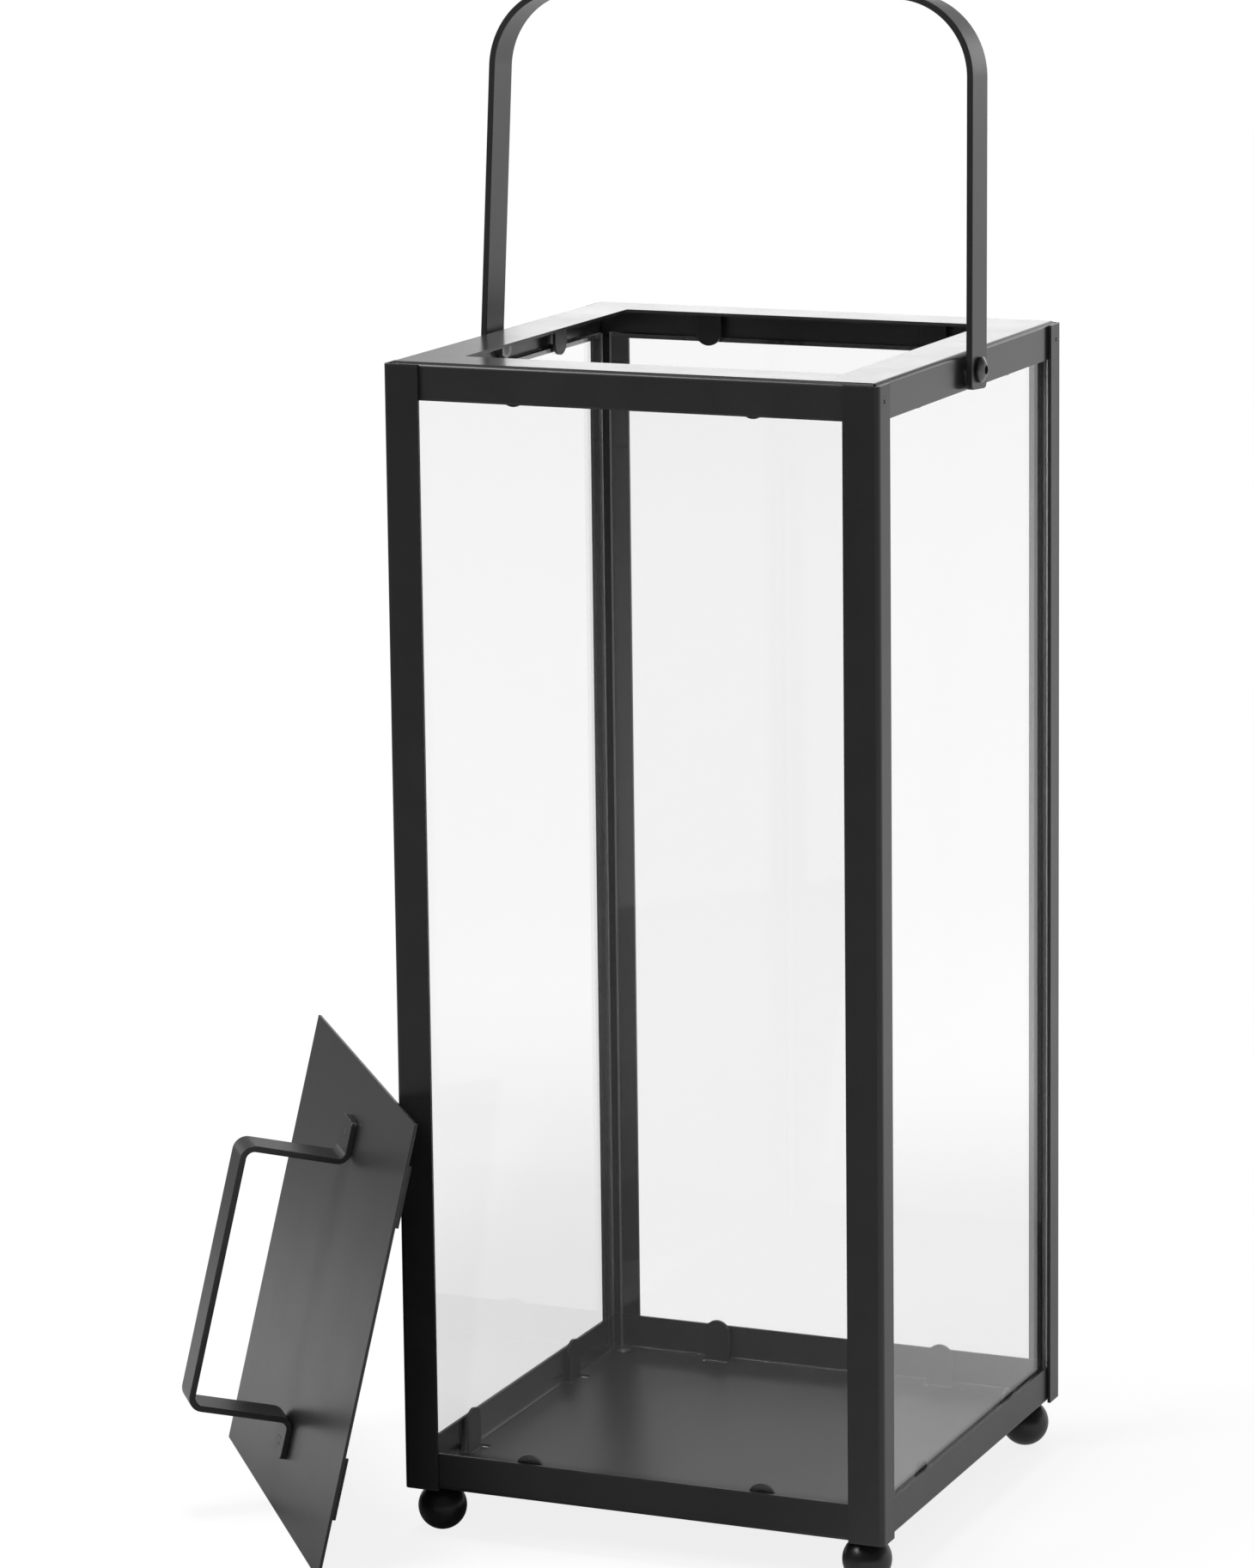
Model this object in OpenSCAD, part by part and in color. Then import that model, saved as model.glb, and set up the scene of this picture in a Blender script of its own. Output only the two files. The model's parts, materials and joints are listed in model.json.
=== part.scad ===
// Square candle lantern: folded sheet tray and top frame, four lapped corner posts, four glass panes,
// ball feet, a flat-bar bail on two pivot screws, and a lift-off lid leaned against the front left post.
// Origin: centre of the tray floor's upper face. Front is -Y, left is -X, up is +Z. Millimetres.

/* [Body] */
// outside width of the tray and the top frame, both ways
body_w = 240; // [180:1:320]
// height from the tray's underside to the top frame's upper face
body_h = 538; // [360:1:700]
// height of the tray's upturned skirts
tray_skirt = 18; // [14:0.5:26]
// height of the top frame's downturned skirts
frame_skirt = 17.5; // [15:0.5:26]
// width of the flat flange around the square top opening
flange_w = 26.5; // [22:0.5:40]
// small rounding in the corners of the top opening
opening_corner = 1.2; // [0.5:0.1:4]

/* [Sheet metal] */
// thickness of the tray, frame, post, clip and lid sheet
sheet = 1.5; // [1:0.1:2]
// inside radius of every fold
fold_in = 1; // [0.6:0.1:1.4]
// play between the edges of two skirts where they meet at a corner
corner_play = 0.3; // [0.1:0.05:0.6]

/* [Glass] */
// thickness of one pane
glass_t = 3; // [2:0.5:4]
// play on each face of a pane between skirt and tongue
glass_play = 0.25; // [0.15:0.05:0.5]
// distance from a pane's upright edge to the body's outside face
glass_edge = 7; // [6.5:0.1:9]
// distance from the top frame's upper face down to the pane's top edge
glass_top_drop = 15; // [14.6:0.1:16]
// arris ground on the pane's long edges
glass_arris = 0.5; // [0.2:0.1:1]

/* [Tongues and clips] */
// width of a half-round tongue
tongue_w = 13.5; // [9:0.5:16]
// height of a floor clip's tongue above the tray floor
tongue_h = 20; // [19.5:0.5:26]
// distance from the body's corner to a tongue's middle, along the side
tongue_inset = 61; // [35:1:80]
// play around a floor clip's tongue in its slot
slot_play = 0.4; // [0.2:0.1:1]
// opening of the slot on the inner side of a floor clip's tongue
slot_open = 5.5; // [2:0.5:9]
// length of a floor clip's foot welded under the floor, beyond the slot
floor_foot = 7; // [4:0.5:12]
// how far a glass clip hangs below the flange's upper face
clip_drop = 19; // [17:0.5:22]
// length of a glass clip's welded foot
clip_foot = 11; // [7:0.5:14]

/* [Posts] */
// width of a post's leg on the front and back
post_front_leg = 17.5; // [12:0.5:24]
// width of a post's leg on the two sides
post_side_leg = 14; // [10:0.5:20]
// play between a post and the skirts it laps
post_play = 0.2; // [0.1:0.05:0.3]
// how far a post's top end stays below the top frame's upper face
post_drop = 1; // [0.5:0.1:3]

/* [Feet] */
// diameter of a ball foot
foot_d = 23.2; // [16:0.1:32]
// distance of a foot's centre from the tray's outside faces
foot_inset = 11.7; // [11.5:0.1:20]
// height of the ball cut away where it seats on the tray
foot_flat = 0.4; // [0.3:0.05:1.5]

/* [Bail handle] */
// width of the flat bar
bar_w = 20; // [14:0.5:26]
// thickness of the flat bar
bar_t = 3; // [2:0.25:4]
// spacing between a skirt and the handle leg at the pivot
bail_gap = 1.6; // [1.6:0.1:4]
// inward lean of each handle leg, degrees
leg_lean = 1.15; // [0:0.05:1.2]
// height of the handle's upper face above the pivot
bail_h = 172.2; // [120:0.1:240]
// outside radius of the handle's shoulders
shoulder_r = 38.8; // [12:0.1:60]
// length of a leg below the pivot
leg_below = 9; // [8:0.5:11]
// rounding of the leg's lower corners
leg_corner = 3; // [1:0.5:5]
// depth of the pivot below the top frame's upper face
pivot_drop = 8.5; // [8:0.1:9]
// how far the handle stands tipped back, degrees
bail_tip = 3.8; // [0:0.1:10]

/* [Lid] */
// how far the square lid plate reaches over the top opening's edge
lid_overlap = 16; // [6:0.5:20]
// depth of a locating lug under the plate
lug_h = 6; // [4:0.5:10]
// length of a locating lug
lug_len = 30; // [15:1:40]
// distance from a lug's end to the inside face line of the next side's lugs
lug_end_gap = 0.8; // [0.3:0.1:30]
// width of a lug's welded foot
lug_foot = 6; // [4:0.5:6]
// play between the lugs and the top opening when the lid is on
lug_play = 0.7; // [0.3:0.1:2]
// distance of the lid's lower front corner to the left of the body
lid_off_left = 12.2; // [6:0.1:60]
// distance of the lid's lower front corner in front of the body
lid_off_front = 74.4; // [40:0.1:120]
// turn of the standing lid away from facing the lantern's side, degrees
lid_turn = 38.2; // [30:0.1:45]
// clear distance left where the lid leans on the post
lean_gap = 0.3; // [0.1:0.05:0.6]

/* [Lid handle] */
// height of the lid handle above the plate
grip_h = 53; // [35:0.5:70]
// distance between the outside faces of the two arms
grip_span = 132; // [80:1:150]
// length of a foot beyond its arm
grip_foot = 18.5; // [14:0.5:26]
// inside radius of the two bends next to the grip
grip_bend = 4; // [2:0.5:10]
// inside radius of the two bends next to the feet
foot_bend = 3.5; // [2:0.5:6]
// rounding of the feet's outer corners
foot_corner = 4; // [1:0.5:8]

/* [Fasteners] */
// shank diameter of a pivot screw
pivot_d = 6; // [4:0.5:6.5]
// head diameter of a pivot screw
pivot_head_d = 12; // [8:0.5:14]
// height of a pivot screw's domed head
pivot_head_h = 3.2; // [2:0.1:5]
// outside diameter of a pivot spacer
spacer_d = 14; // [10:0.5:16]
// width across flats of a pivot nut
nut_af = 10; // [7:0.5:10]
// thickness of a pivot nut
nut_t = 3.2; // [2:0.1:3.4]
// shank diameter of a post screw
post_screw_d = 3; // [2:0.1:4]
// head diameter of a countersunk post screw
post_head_d = 4.6; // [4:0.1:6]
// shank diameter of a foot screw and a lid screw
small_screw_d = 4; // [3:0.1:5]
// head diameter of a foot screw and a lid screw
small_head_d = 7.5; // [6:0.1:8]
// head height of a foot screw and a lid screw
small_head_h = 2.4; // [1.5:0.1:3]
// radial running play of the handle on its pivot screw
pivot_play = 0.08; // [0.02:0.01:0.1]
// radial play of every fixed screw in its hole
screw_play = 0.1; // [0.05:0.05:0.4]
// gap under a pivot screw's head
head_gap = 0.3; // [0.3:0.05:0.6]

/* [Hidden] */
$fn = 96;
arc_steps = 180;
eps = 0.01;
fold_out = fold_in + sheet;
half_w = body_w / 2;
floor_under = -sheet;
top_z = body_h - sheet;
under_flange = top_z - sheet;
opening_w = body_w - 2 * flange_w;
corner_cut = sheet + corner_play;
// the slot a pane stands in: skirt, play, glass, play, tongue
pane_out = half_w - sheet - glass_play;
glass_w = body_w - 2 * glass_edge;
tongue_pitch = half_w - tongue_inset;
tongue_out = pane_out - glass_t - glass_play;
tongue_r = tongue_w / 2;
// a pane rests on the inside radii of the folds, not on the floor between them
pane_rest = fold_in - sqrt(fold_in * fold_in - pow(fold_in - glass_play, 2));
pane_seat_gap = 0.05;
pane_z0 = pane_rest + pane_seat_gap;
pane_z1 = top_z - glass_top_drop;
clip_h = clip_drop - sheet;
floor_clip_h = tongue_h + 2 * sheet;
floor_clip_foot = sheet + slot_open + floor_foot;
post_out = half_w + post_play + sheet;
post_z1 = top_z - post_drop;
foot_r = foot_d / 2;
foot_at = half_w - foot_inset;
foot_z = floor_under - foot_r + foot_flat;
ground_z = foot_z - foot_r;
pivot_z = top_z - pivot_drop;
leg_in_x = half_w + bail_gap;
leg_out_x = leg_in_x + bar_t;
spacer_t = bail_gap - spacer_d / 2 * tan(leg_lean) - head_gap;
head_lift = pivot_head_d / 2 * tan(leg_lean) + head_gap;
pivot_len = leg_out_x + head_lift - half_w + sheet + nut_t;
post_screw_y = post_out - post_side_leg / 2;
post_cone_h = (post_head_d - post_screw_d) / 2;
post_screw_len = 2 * sheet + post_play + 1.5;
foot_screw_len = 14;
lid_w = opening_w + 2 * lid_overlap;
lug_out = opening_w / 2 - lug_play;
lug_pitch = lug_out - lug_foot - lug_end_gap - lug_len / 2;
lid_foot_x = -half_w - lid_off_left;
lid_foot_y = -half_w - lid_off_front;
grip_out = grip_span / 2;
grip_end = grip_out + grip_foot;
grip_hole_x = grip_out + foot_bend + (grip_foot - foot_bend) / 2;
// the lid turns about its ground edge until a lug's tip meets the post's rounded corner
lean_a = lid_w / 2 + lug_out;
lean_b = sheet + lug_h;
lean_c = (fold_out - post_out - lid_foot_x) * cos(lid_turn)
       + (fold_out - post_out - lid_foot_y) * sin(lid_turn) - fold_out - lean_gap;
lid_slope = atan2(lean_b, lean_a) + acos(lean_c / sqrt(lean_a * lean_a + lean_b * lean_b));
lid_z = ground_z + sheet * cos(lid_slope);

// ---------- folded sheet ----------

// front view of a block with both lower edges rounded
module pan_view(w, h, r) {
    translate([-w / 2, r])
        square([w, h - r]);
    translate([-w / 2 + r, 0])
        square([w - 2 * r, 2 * r]);
    for (side = [-1, 1])
        translate([side * (w / 2 - r), r])
            circle(r);
}

// solid block with the four lower edges rounded, standing on z = 0
module pan_block(w, h, r) {
    intersection() {
        rotate([90, 0, 0])
            linear_extrude(w, center = true)
                pan_view(w, h, r);
        rotate([90, 0, 90])
            linear_extrude(w, center = true)
                pan_view(w, h, r);
    }
}

// square pan folded from one sheet, skirts up, with the corner notches its blank needs
module folded_pan(skirt) {
    difference() {
        pan_block(body_w, skirt, fold_out);
        translate([0, 0, sheet])
            pan_block(body_w - 2 * sheet, skirt, fold_in);
        for (sx = [-1, 1], sy = [-1, 1])
            translate([sx * (half_w - corner_cut / 2), sy * (half_w - corner_cut / 2), skirt / 2])
                cube([corner_cut, corner_cut, skirt + 2 * eps], center = true);
    }
}

// quarter ring: one fold seen end-on, centred on its bend axis
module fold_view(r_in, t, turn) {
    rotate(turn)
        intersection() {
            difference() {
                circle(r_in + t);
                circle(r_in);
            }
            square(r_in + t);
        }
}

// strip with one half-round end, standing on the x axis
module half_round_view(w, h) {
    translate([-w / 2, 0])
        square([w, h - w / 2]);
    translate([0, h - w / 2])
        circle(w / 2);
}

// repeats its child at the eight tongue places, the child's outer face at y = 0
module at_tongues() {
    for (turn = [0, 90, 180, 270], along = [-1, 1])
        rotate(turn)
            translate([along * tongue_pitch, -tongue_out, 0])
                children();
}

// angle clip with a half-round tongue, foot on z = 0 and tongue going up, its outer face at y = 0
module tongue_clip(h, foot) {
    translate([0, sheet, fold_out])
        rotate([90, 0, 0])
            linear_extrude(sheet)
                half_round_view(tongue_w, h - fold_out);
    translate([-tongue_w / 2, fold_out, fold_out])
        rotate([90, 0, 90])
            linear_extrude(tongue_w)
                fold_view(fold_in, sheet, 180);
    translate([-tongue_w / 2, fold_out, 0])
        cube([tongue_w, foot - fold_out, sheet]);
}

// short slot in the floor that a floor clip's tongue comes up through
module tongue_slot() {
    translate([-tongue_w / 2 - slot_play, -slot_play, -sheet - eps])
        cube([tongue_w + 2 * slot_play, slot_play + sheet + slot_open, sheet + 2 * eps]);
}

module base_tray() {
    color([0.13, 0.13, 0.14])
    difference() {
        translate([0, 0, floor_under])
            folded_pan(tray_skirt);
        at_tongues()
            tongue_slot();
        at_feet()
            translate([0, 0, floor_under - eps])
                cylinder(h = sheet + 2 * eps, d = small_screw_d + 2 * screw_play);
    }
}

// clips welded under the floor, their tongues holding the panes from inside
module floor_clips() {
    color([0.16, 0.16, 0.17])
    translate([0, 0, floor_under - sheet])
        at_tongues()
            tongue_clip(floor_clip_h, floor_clip_foot);
}

module top_frame() {
    color([0.15, 0.15, 0.16])
    difference() {
        translate([0, 0, top_z])
            rotate([180, 0, 0])
                folded_pan(frame_skirt);
        translate([0, 0, under_flange - eps])
            linear_extrude(sheet + 2 * eps)
                opening_view();
        for (side = [-1, 1])
            translate([side * (half_w - sheet / 2), 0, pivot_z])
                rotate([0, 90, 0])
                    cylinder(h = 2 * sheet, d = pivot_d + 2 * screw_play, center = true);
        at_post_screws()
            translate([0, 0, -post_screw_len - eps])
                cylinder(h = post_screw_len, d = post_screw_d + 2 * screw_play);
    }
}

// square opening with slightly rounded corners
module opening_view() {
    inner = opening_w - 2 * opening_corner;
    square([opening_w, inner], center = true);
    square([inner, opening_w], center = true);
    for (sx = [-1, 1], sy = [-1, 1])
        translate([sx * inner / 2, sy * inner / 2])
            circle(opening_corner);
}

// ---------- glass clips ----------

// clips welded under the flange, their tongues hanging down inside the panes
module glass_clips() {
    color([0.16, 0.16, 0.17])
    translate([0, 0, under_flange])
        at_tongues()
            mirror([0, 0, 1])
                tongue_clip(clip_h, clip_foot);
}

// ---------- posts ----------

// plan of the front left post, its outside corner at the origin
module post_view() {
    translate([fold_out, fold_out])
        fold_view(fold_in, sheet, 180);
    translate([fold_out, 0])
        square([post_front_leg - fold_out, sheet]);
    translate([0, fold_out])
        square([sheet, post_side_leg - fold_out]);
}

module front_left_post() {
    difference() {
        translate([-post_out, -post_out, floor_under])
            linear_extrude(post_z1 - floor_under)
                post_view();
        at_post_screws()
            translate([0, 0, -post_screw_len])
                cylinder(h = post_screw_len, d = post_screw_d + 2 * screw_play);
        at_post_screws()
            translate([0, 0, -post_cone_h])
                cylinder(h = post_cone_h + eps, d1 = post_screw_d + 2 * screw_play,
                         d2 = post_head_d + 2 * screw_play);
    }
}

module post_front_left() {
    color([0.14, 0.14, 0.15])
        front_left_post();
}

module post_front_right() {
    color([0.14, 0.14, 0.15])
        mirror([1, 0, 0])
            front_left_post();
}

module post_back_left() {
    color([0.14, 0.14, 0.15])
        mirror([0, 1, 0])
            front_left_post();
}

module post_back_right() {
    color([0.14, 0.14, 0.15])
        rotate(180)
            front_left_post();
}

// repeats its child at the four post screws, z pointing out of the side and z = 0 on the post's face
module at_post_screws() {
    for (sx = [-1, 1], sy = [-1, 1])
        translate([sx * post_out, sy * post_screw_y, pivot_z])
            rotate([0, sx * 90, 0])
                children();
}

// countersunk screw with a cross recess, its flat head at z = 0 and its shank below
module post_screw() {
    difference() {
        union() {
            translate([0, 0, -post_cone_h])
                cylinder(h = post_cone_h, d1 = post_screw_d, d2 = post_head_d);
            translate([0, 0, -post_screw_len])
                cylinder(h = post_screw_len - post_cone_h + eps, d = post_screw_d);
        }
        for (turn = [45, 135])
            rotate(turn)
                cube([post_head_d * 0.6, post_head_d * 0.14, post_cone_h], center = true);
    }
}

module post_screws() {
    color([0.2, 0.2, 0.21])
    at_post_screws()
        post_screw();
}

// ---------- glass ----------

// pane seen from above, its outer face on y = 0 and its thickness towards +y
module pane_view() {
    polygon([
        [-glass_w / 2 + glass_arris, 0],
        [glass_w / 2 - glass_arris, 0],
        [glass_w / 2, glass_arris],
        [glass_w / 2, glass_t - glass_arris],
        [glass_w / 2 - glass_arris, glass_t],
        [-glass_w / 2 + glass_arris, glass_t],
        [-glass_w / 2, glass_t - glass_arris],
        [-glass_w / 2, glass_arris]
    ]);
}

// pane on the side that a turn about the middle brings to the front
module pane(turn) {
    color([0.85, 0.9, 0.88, 0.25])
    rotate(turn)
        translate([0, -pane_out, pane_z0])
            linear_extrude(pane_z1 - pane_z0)
                pane_view();
}

module glass_front() {
    pane(0);
}

module glass_right() {
    pane(90);
}

module glass_back() {
    pane(180);
}

module glass_left() {
    pane(270);
}

// ---------- feet ----------

// repeats its child over the four feet
module at_feet() {
    for (sx = [-1, 1], sy = [-1, 1])
        translate([sx * foot_at, sy * foot_at, 0])
            children();
}

// ball with a flat seat and a blind hole for its screw
module ball_foot(sx, sy) {
    color([0.1, 0.1, 0.1])
    translate([sx * foot_at, sy * foot_at, foot_z])
        difference() {
            rotate_extrude()
                intersection() {
                    circle(foot_r);
                    translate([0, -foot_r])
                        square([foot_r, 2 * foot_r - foot_flat]);
                }
            translate([0, 0, foot_r - foot_flat - foot_screw_len + small_head_h])
                cylinder(h = foot_screw_len, d = small_screw_d + 2 * screw_play);
        }
}

module foot_front_left() {
    ball_foot(-1, -1);
}

module foot_front_right() {
    ball_foot(1, -1);
}

module foot_back_left() {
    ball_foot(-1, 1);
}

module foot_back_right() {
    ball_foot(1, 1);
}

// pan-head screw with a cross recess: underside of the head at z = 0, shank below
module pan_screw(shank_len) {
    difference() {
        union() {
            pan_head(small_head_d, small_head_h);
            translate([0, 0, -shank_len])
                cylinder(h = shank_len + eps, d = small_screw_d);
        }
        for (turn = [0, 90])
            rotate(turn)
                translate([0, 0, small_head_h])
                    cube([small_head_d * 0.5, small_head_d * 0.12, small_head_h], center = true);
    }
}

// domed head: short rim with a spherical cap of the same total height
module pan_head(d, h) {
    rim = h * 0.35;
    cap = h - rim;
    cap_r = (d * d / 4 + cap * cap) / (2 * cap);
    rotate_extrude()
        intersection() {
            translate([0, h - cap_r])
                circle(cap_r);
            square([d / 2, h]);
        }
}

module foot_screws() {
    color([0.25, 0.25, 0.26])
    at_feet()
        pan_screw(foot_screw_len - small_head_h);
}

// ---------- bail handle ----------

// closed outline of the handle from the front, rounded at the shoulders and shrunk by an inset;
// the pivot's height is y = 0 and the lower end runs on below the legs
module bail_outline(inset) {
    low = -leg_below - 2 * shoulder_r;
    low_x = leg_out_x - low * tan(leg_lean);
    high_x = leg_out_x - bail_h * tan(leg_lean);
    offset(r = shoulder_r - inset, $fn = arc_steps)
        offset(delta = -shoulder_r)
            polygon([[-low_x, low], [low_x, low], [high_x, bail_h], [-high_x, bail_h]]);
}

// the bar's width seen from the side, with the legs' lower corners rounded
module bail_side_view() {
    inner = bar_w / 2 - leg_corner;
    translate([-bar_w / 2, leg_corner - leg_below])
        square([bar_w, bail_h + leg_below]);
    translate([-inner, -leg_below])
        square([2 * inner, 2 * leg_corner]);
    for (side = [-1, 1])
        translate([side * inner, leg_corner - leg_below])
            circle(leg_corner);
}

module bail_handle() {
    color([0.13, 0.13, 0.14])
    translate([0, 0, pivot_z])
        rotate([-bail_tip, 0, 0])
            difference() {
                intersection() {
                    rotate([90, 0, 0])
                        linear_extrude(bar_w, center = true)
                            difference() {
                                bail_outline(0);
                                bail_outline(bar_t);
                            }
                    rotate([90, 0, 90])
                        linear_extrude(2 * leg_out_x + bar_w, center = true)
                            bail_side_view();
                }
                rotate([0, 90, 0])
                    cylinder(h = 2 * leg_out_x + bar_w, d = pivot_d + 2 * pivot_play, center = true);
            }
}

// repeats its child on one pivot, z pointing outwards and z = 0 on the skirt's face
module at_pivot(side) {
    translate([side * half_w, 0, pivot_z])
        rotate([0, side * 90, 0])
            children();
}

// domed screw with a hexagon socket, running through handle, spacer, skirt and nut
module pivot_screw(side) {
    head_z = leg_out_x - half_w + head_lift;
    color([0.2, 0.2, 0.21])
    at_pivot(side)
        difference() {
            union() {
                translate([0, 0, head_z])
                    pan_head(pivot_head_d, pivot_head_h);
                translate([0, 0, head_z - pivot_len])
                    cylinder(h = pivot_len + eps, d = pivot_d);
            }
            translate([0, 0, head_z + pivot_head_h - 1.8])
                cylinder(h = 2, d = 4.6, $fn = 6);
        }
}

module pivot_screw_left() {
    pivot_screw(-1);
}

module pivot_screw_right() {
    pivot_screw(1);
}

module pivot_spacer(side) {
    color([0.3, 0.3, 0.31])
    at_pivot(side)
        difference() {
            cylinder(h = spacer_t, d = spacer_d);
            translate([0, 0, -eps])
                cylinder(h = spacer_t + 2 * eps, d = pivot_d + 2 * screw_play);
        }
}

module pivot_spacer_left() {
    pivot_spacer(-1);
}

module pivot_spacer_right() {
    pivot_spacer(1);
}

// thin hexagon nut against the skirt's inner face, flats up and down so the flange clears it
module pivot_nut(side) {
    color([0.3, 0.3, 0.31])
    at_pivot(side)
        translate([0, 0, -sheet - nut_t])
            difference() {
                cylinder(h = nut_t, d = nut_af / cos(30), $fn = 6);
                translate([0, 0, -eps])
                    cylinder(h = nut_t + 2 * eps, d = pivot_d + 2 * screw_play);
            }
}

module pivot_nut_left() {
    pivot_nut(-1);
}

module pivot_nut_right() {
    pivot_nut(1);
}

// ---------- lid ----------

// stands the lid, drawn flat with its upper face on z = 0, on the ground against the post
module lid_pose() {
    translate([lid_foot_x, lid_foot_y, lid_z])
        rotate([0, -lid_slope, lid_turn])
            translate([lid_w / 2, lid_w / 2, 0])
                children();
}

module at_lid_screws() {
    for (side = [-1, 1])
        translate([side * grip_hole_x, 0, 0])
            children();
}

module lid_plate() {
    color([0.16, 0.16, 0.17])
    lid_pose()
        difference() {
            translate([-lid_w / 2, -lid_w / 2, -sheet])
                cube([lid_w, lid_w, sheet]);
            at_lid_screws()
                translate([0, 0, -sheet - eps])
                    cylinder(h = sheet + 2 * eps, d = small_screw_d + 2 * screw_play);
        }
}

// folded strip under the plate: foot welded flat, wall hanging down inside the opening's edge
module lug_view() {
    translate([-fold_out, -fold_out])
        fold_view(fold_in, sheet, 0);
    translate([-sheet, -lug_h])
        square([sheet, lug_h - fold_out]);
    translate([-lug_foot, -sheet])
        square([lug_foot - fold_out, sheet]);
}

module lid_lugs() {
    color([0.16, 0.16, 0.17])
    lid_pose()
        translate([0, 0, -sheet])
            for (turn = [0, 90, 180, 270], along = [-1, 1])
                rotate(turn)
                    translate([lug_out, along * lug_pitch + lug_len / 2, 0])
                        rotate([90, 0, 0])
                            linear_extrude(lug_len)
                                lug_view();
}

// half of the hat-shaped grip seen from the front, standing on y = 0
module half_grip_view() {
    top_r = grip_bend + bar_t;
    translate([0, grip_h - bar_t])
        square([grip_out - top_r, bar_t]);
    translate([grip_out - top_r, grip_h - top_r])
        fold_view(grip_bend, bar_t, 0);
    translate([grip_out - bar_t, bar_t + foot_bend])
        square([bar_t, grip_h - top_r - bar_t - foot_bend]);
    translate([grip_out + foot_bend, bar_t + foot_bend])
        fold_view(foot_bend, bar_t, 180);
    translate([grip_out + foot_bend, 0])
        square([grip_foot - foot_bend, bar_t]);
}

// the grip seen from above: a bar with rounded outer corners
module grip_plan() {
    inner = bar_w / 2 - foot_corner;
    square([2 * grip_end - 2 * foot_corner, bar_w], center = true);
    square([2 * grip_end, 2 * inner], center = true);
    for (sx = [-1, 1], sy = [-1, 1])
        translate([sx * (grip_end - foot_corner), sy * inner])
            circle(foot_corner);
}

module lid_handle() {
    color([0.13, 0.13, 0.14])
    lid_pose()
        difference() {
            intersection() {
                rotate([90, 0, 0])
                    linear_extrude(bar_w, center = true) {
                        half_grip_view();
                        mirror([1, 0])
                            half_grip_view();
                    }
                translate([0, 0, -eps])
                    linear_extrude(grip_h + 2 * eps)
                        grip_plan();
            }
            at_lid_screws()
                translate([0, 0, -eps])
                    cylinder(h = bar_t + 2 * eps, d = small_screw_d + 2 * screw_play);
        }
}

// screws from below, their ends flush with the upper face of the handle's feet
module lid_screws() {
    color([0.2, 0.2, 0.21])
    lid_pose()
        at_lid_screws()
            translate([0, 0, -sheet])
                rotate([180, 0, 0])
                    pan_screw(sheet + bar_t);
}

base_tray();
floor_clips();
top_frame();
glass_clips();
post_front_left();
post_front_right();
post_back_left();
post_back_right();
post_screws();
glass_front();
glass_back();
glass_left();
glass_right();
foot_front_left();
foot_front_right();
foot_back_left();
foot_back_right();
foot_screws();
bail_handle();
pivot_screw_left();
pivot_screw_right();
pivot_spacer_left();
pivot_spacer_right();
pivot_nut_left();
pivot_nut_right();
lid_plate();
lid_lugs();
lid_handle();
lid_screws();
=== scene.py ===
"""Looks of the square candle lantern: powder-coated sheet, clear panes, ball feet, flat-bar bail and lid."""

import json

import bmesh
import bpy
import numpy as np
from mathutils import Euler, Matrix, Vector


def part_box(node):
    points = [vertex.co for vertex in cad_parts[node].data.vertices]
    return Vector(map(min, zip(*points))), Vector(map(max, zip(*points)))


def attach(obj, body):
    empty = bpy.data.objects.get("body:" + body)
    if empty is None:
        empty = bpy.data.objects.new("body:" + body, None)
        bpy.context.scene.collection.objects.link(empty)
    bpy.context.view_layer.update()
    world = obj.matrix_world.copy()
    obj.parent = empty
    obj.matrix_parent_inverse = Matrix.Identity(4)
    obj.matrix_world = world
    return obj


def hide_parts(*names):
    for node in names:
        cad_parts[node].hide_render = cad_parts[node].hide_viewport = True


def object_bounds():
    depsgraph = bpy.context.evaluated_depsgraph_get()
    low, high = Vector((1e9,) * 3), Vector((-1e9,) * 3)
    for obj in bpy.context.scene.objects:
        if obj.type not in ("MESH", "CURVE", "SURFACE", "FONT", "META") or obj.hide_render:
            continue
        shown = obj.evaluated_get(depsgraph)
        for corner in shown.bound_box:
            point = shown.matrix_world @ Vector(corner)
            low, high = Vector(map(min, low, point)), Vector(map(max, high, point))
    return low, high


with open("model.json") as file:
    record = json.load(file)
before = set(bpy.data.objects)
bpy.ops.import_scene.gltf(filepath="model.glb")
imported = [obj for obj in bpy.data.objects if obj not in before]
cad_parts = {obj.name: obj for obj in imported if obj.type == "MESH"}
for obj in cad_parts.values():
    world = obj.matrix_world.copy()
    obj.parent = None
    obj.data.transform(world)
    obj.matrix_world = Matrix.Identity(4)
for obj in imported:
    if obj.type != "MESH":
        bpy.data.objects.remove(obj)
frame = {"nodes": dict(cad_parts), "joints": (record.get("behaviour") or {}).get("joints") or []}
cad_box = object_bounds()
scene = bpy.context.scene
scene.view_settings.view_transform = "Standard"
node_of = frame["nodes"]

# ---------------------------------------------------------------------------------------------
# Camera. It stands 2.8 m away, in front and to the right of the lantern and a little above its
# handle, and looks 10 degrees down. The three rows are its right, down and forward directions, found
# from the lantern's own edges. The shift makes up for part of the picture's off-centre crop.
# ---------------------------------------------------------------------------------------------

camera_right = (0.9286969, 0.3707843, -0.0064176)
camera_down = (0.0597513, -0.1666926, -0.9841968)
camera_ahead = (-0.3659944, 0.9136370, -0.1769617)
camera_place = (1.032866, -2.478119, 0.881019)
picture_w, picture_h = 1460, 1826
focal_px, centre_x_px, centre_y_px = 6707.3, 944.66, 732.95

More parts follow.
